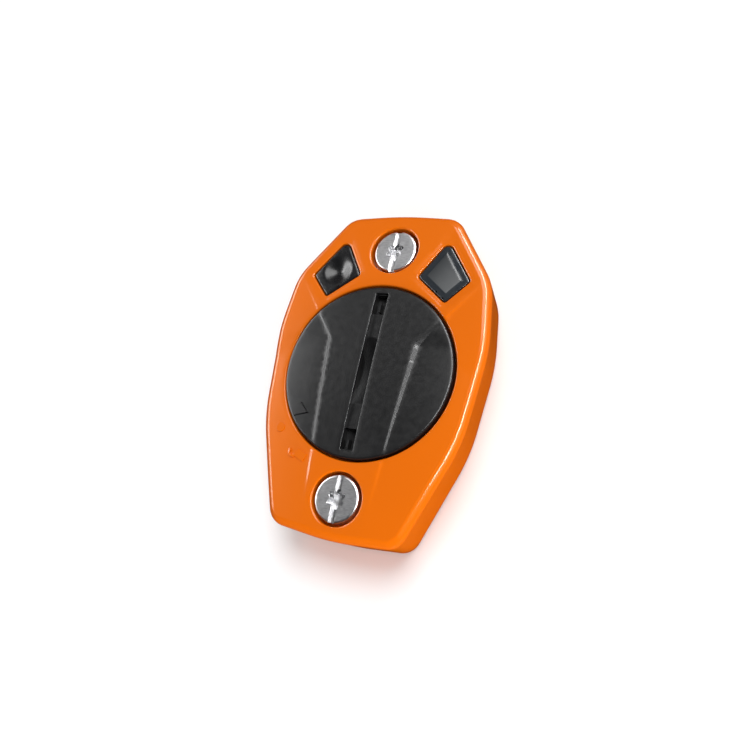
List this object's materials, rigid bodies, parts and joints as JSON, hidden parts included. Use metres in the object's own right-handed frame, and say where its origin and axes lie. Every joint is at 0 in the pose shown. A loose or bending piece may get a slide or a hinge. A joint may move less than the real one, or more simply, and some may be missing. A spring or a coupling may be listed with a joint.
{
  "type": "radio beacon tag",
  "caption": "Small screw-on radio beacon in a flat orange case, with a round coin-slotted battery cap, a push button, a smoked indicator window and fixing screws.",
  "frame": {"origin": "centre of the flat land on the rear cover, half way between the fixing screws", "axes": "+Z out of the front face, +Y along the body towards the button end, +X to the right seen from the front"},
  "size_m": [0.0338, 0.0493, 0.01],
  "materials": {
    "orange_plastic": "satin moulded, orange",
    "black_plastic": "fine satin texture, black",
    "gloss_black_plastic": "glossy black",
    "smoked_lens": "smoked, polished",
    "clear_plastic": "clear, polished",
    "seal_rubber": "matt",
    "screw_steel": "turned, bright",
    "cell_steel": "drawn, bright",
    "shield_tin": "tinned sheet",
    "sleeve_brass": "turned",
    "contact_gold": "gold plated spring strip",
    "board_green": "solder mask",
    "chip_black": "moulded epoxy",
    "ceramic_tan": "sintered ceramic"
  },
  "bodies": {
    "housing": {"front_housing": "orange_plastic", "rear_cover": "orange_plastic", "rear_seal": "seal_rubber", "cell_holder": "black_plastic", "positive_contact": "contact_gold", "negative_contact": "contact_gold", "circuit_board": "board_green", "radio_shield_can": "shield_tin", "radio_chip": "chip_black", "controller_chip": "chip_black", "motion_sensor": "chip_black", "memory_chip": "chip_black", "power_inductor": "chip_black", "crystal": "shield_tin", "reservoir_capacitor": "ceramic_tan", "chip_antenna": "ceramic_tan", "ceramic_capacitor_1": "ceramic_tan", "ceramic_capacitor_2": "ceramic_tan", "ceramic_capacitor_3": "ceramic_tan", "ceramic_capacitor_4": "ceramic_tan", "switch_body": "black_plastic", "switch_cover": "shield_tin", "button_seal": "seal_rubber", "status_led": "clear_plastic", "light_guide": "clear_plastic", "indicator_window": "smoked_lens", "window_seal": "seal_rubber", "upper_screw": "screw_steel", "lower_screw": "screw_steel", "upper_screw_sleeve": "sleeve_brass", "lower_screw_sleeve": "sleeve_brass", "upper_boss_seal": "seal_rubber", "lower_boss_seal": "seal_rubber"},
    "coin_cell": {"cell_can": "cell_steel", "cell_gasket": "seal_rubber", "cell_anode_cap": "cell_steel"},
    "battery_cap": {"battery_cap": "black_plastic", "cap_o_ring": "seal_rubber"},
    "button": {"button_cap": "gloss_black_plastic"},
    "plunger": {"switch_plunger": "chip_black"}
  },
  "joints": [
    {"name": "cap_lift", "type": "slide", "parent": "housing", "child": "coin_cell", "axis": [0, 0, 1], "range_m": [0, 0.0004]},
    {"name": "cap_turn", "type": "hinge", "parent": "coin_cell", "child": "battery_cap", "pos_m": [0, -0.00035, 0.0077], "axis": [0, 0, 1], "range_deg": [0, 20]},
    {"name": "button_press", "type": "slide", "parent": "housing", "child": "button", "axis": [0, 0, -1], "range_m": [0, 0.0004], "stiffness_N_per_m": 4000},
    {"name": "plunger_travel", "type": "slide", "parent": "housing", "child": "plunger", "axis": [0, 0, -1], "range_m": [0, 0.0004]}
  ],
  "couplings": [
    {"joint": "cap_turn", "follows": "cap_lift", "rad_per_m": 872.66},
    {"joint": "plunger_travel", "follows": "button_press", "ratio": 1}
  ]
}
